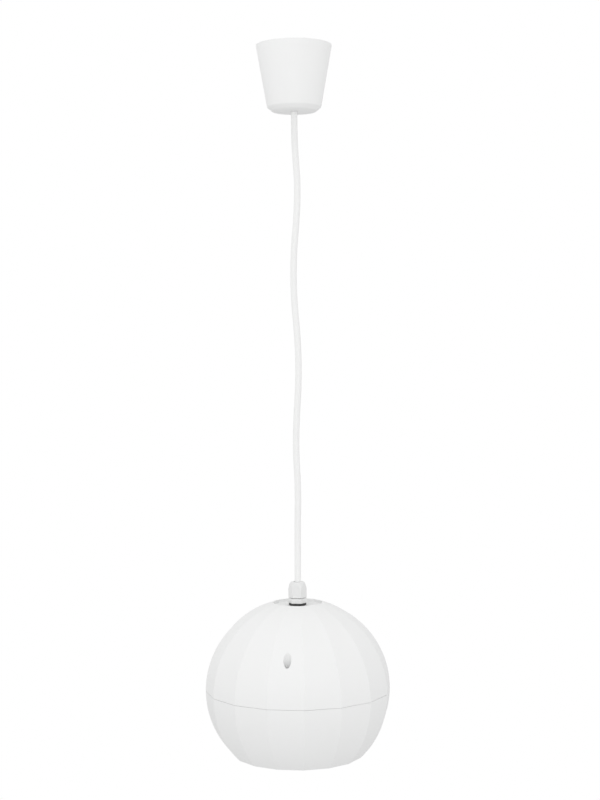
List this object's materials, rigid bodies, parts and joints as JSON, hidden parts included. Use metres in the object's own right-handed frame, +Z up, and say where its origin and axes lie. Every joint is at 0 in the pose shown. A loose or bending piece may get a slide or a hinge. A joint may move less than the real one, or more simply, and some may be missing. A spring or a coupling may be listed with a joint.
{
  "type": "ceiling speaker",
  "caption": "White sixteen-sided ball loudspeaker hanging on its own round cord from a conical ceiling cup, with a cable gland on top and a driver behind a perforated grille underneath.",
  "frame": {"origin": "centre of the two fixing slots in the ceiling plane, on the cord's plumb line; everything hangs below it", "axes": "+Z up out of the ceiling face, +X along the ceiling strap; one facet of the ball with a screw well faces -Y"},
  "size_m": [0.182, 0.182, 0.708],
  "materials": {
    "shell_white": "satin, fine moulded texture",
    "cord_white": "smooth satin PVC",
    "gland_white": "satin nylon",
    "black_rubber": "matt",
    "foam_black": "open-cell foam",
    "grille_white": "fine satin powder coat",
    "zinc_steel": "bright zinc plate",
    "plate_steel": "turned steel",
    "brass": "bright",
    "block_plastic": "milky",
    "core_red": "satin insulation",
    "basket_black": "satin black",
    "ferrite": "ground ferrite",
    "coil_copper": "enamelled wire on its former",
    "cone_black": "matt coated paper",
    "spider_cloth": "resin-stiffened cloth",
    "tag_board": "pressed paper board",
    "core_iron": "stacked laminations",
    "coil_tape": "taped winding",
    "wadding": "loose fibre wadding"
  },
  "bodies": {
    "housing": {"upper_shell": "shell_white", "lower_shell": "shell_white", "ceiling_cup": "shell_white", "cord": "cord_white", "gland_nut": "gland_white", "gland_body": "gland_white", "gland_locknut": "gland_white", "gland_washer": "black_rubber", "gland_seal": "black_rubber", "driver_gasket": "foam_black", "grille": "grille_white", "ceiling_strap": "zinc_steel", "cord_saddle": "zinc_steel", "saddle_screws": "zinc_steel", "block_screw": "zinc_steel", "shell_screws": "zinc_steel", "driver_screws": "zinc_steel", "transformer_screws": "zinc_steel", "transformer_clamp": "zinc_steel", "terminal_screws": "zinc_steel", "top_plate": "plate_steel", "pole_yoke": "plate_steel", "terminal_inserts": "brass", "solder_tags": "brass", "terminal_block": "block_plastic", "upper_cores": "core_red", "lower_cores": "core_red", "speaker_leads": "core_red", "driver_basket": "basket_black", "magnet": "ferrite", "tag_strip": "tag_board", "transformer_core": "core_iron", "transformer_coil": "coil_tape", "damping_pads": "wadding"},
    "cone_assembly": {"cone": "cone_black", "dust_cap": "cone_black", "voice_coil": "coil_copper", "surround": "black_rubber", "spider": "spider_cloth"}
  },
  "joints": [
    {"name": "cone_travel", "type": "slide", "parent": "housing", "child": "cone_assembly", "axis": [0, 0, 1], "range_m": [-0.002, 0.002], "stiffness_N_per_m": 1500, "deforming": ["surround", "spider"]}
  ]
}
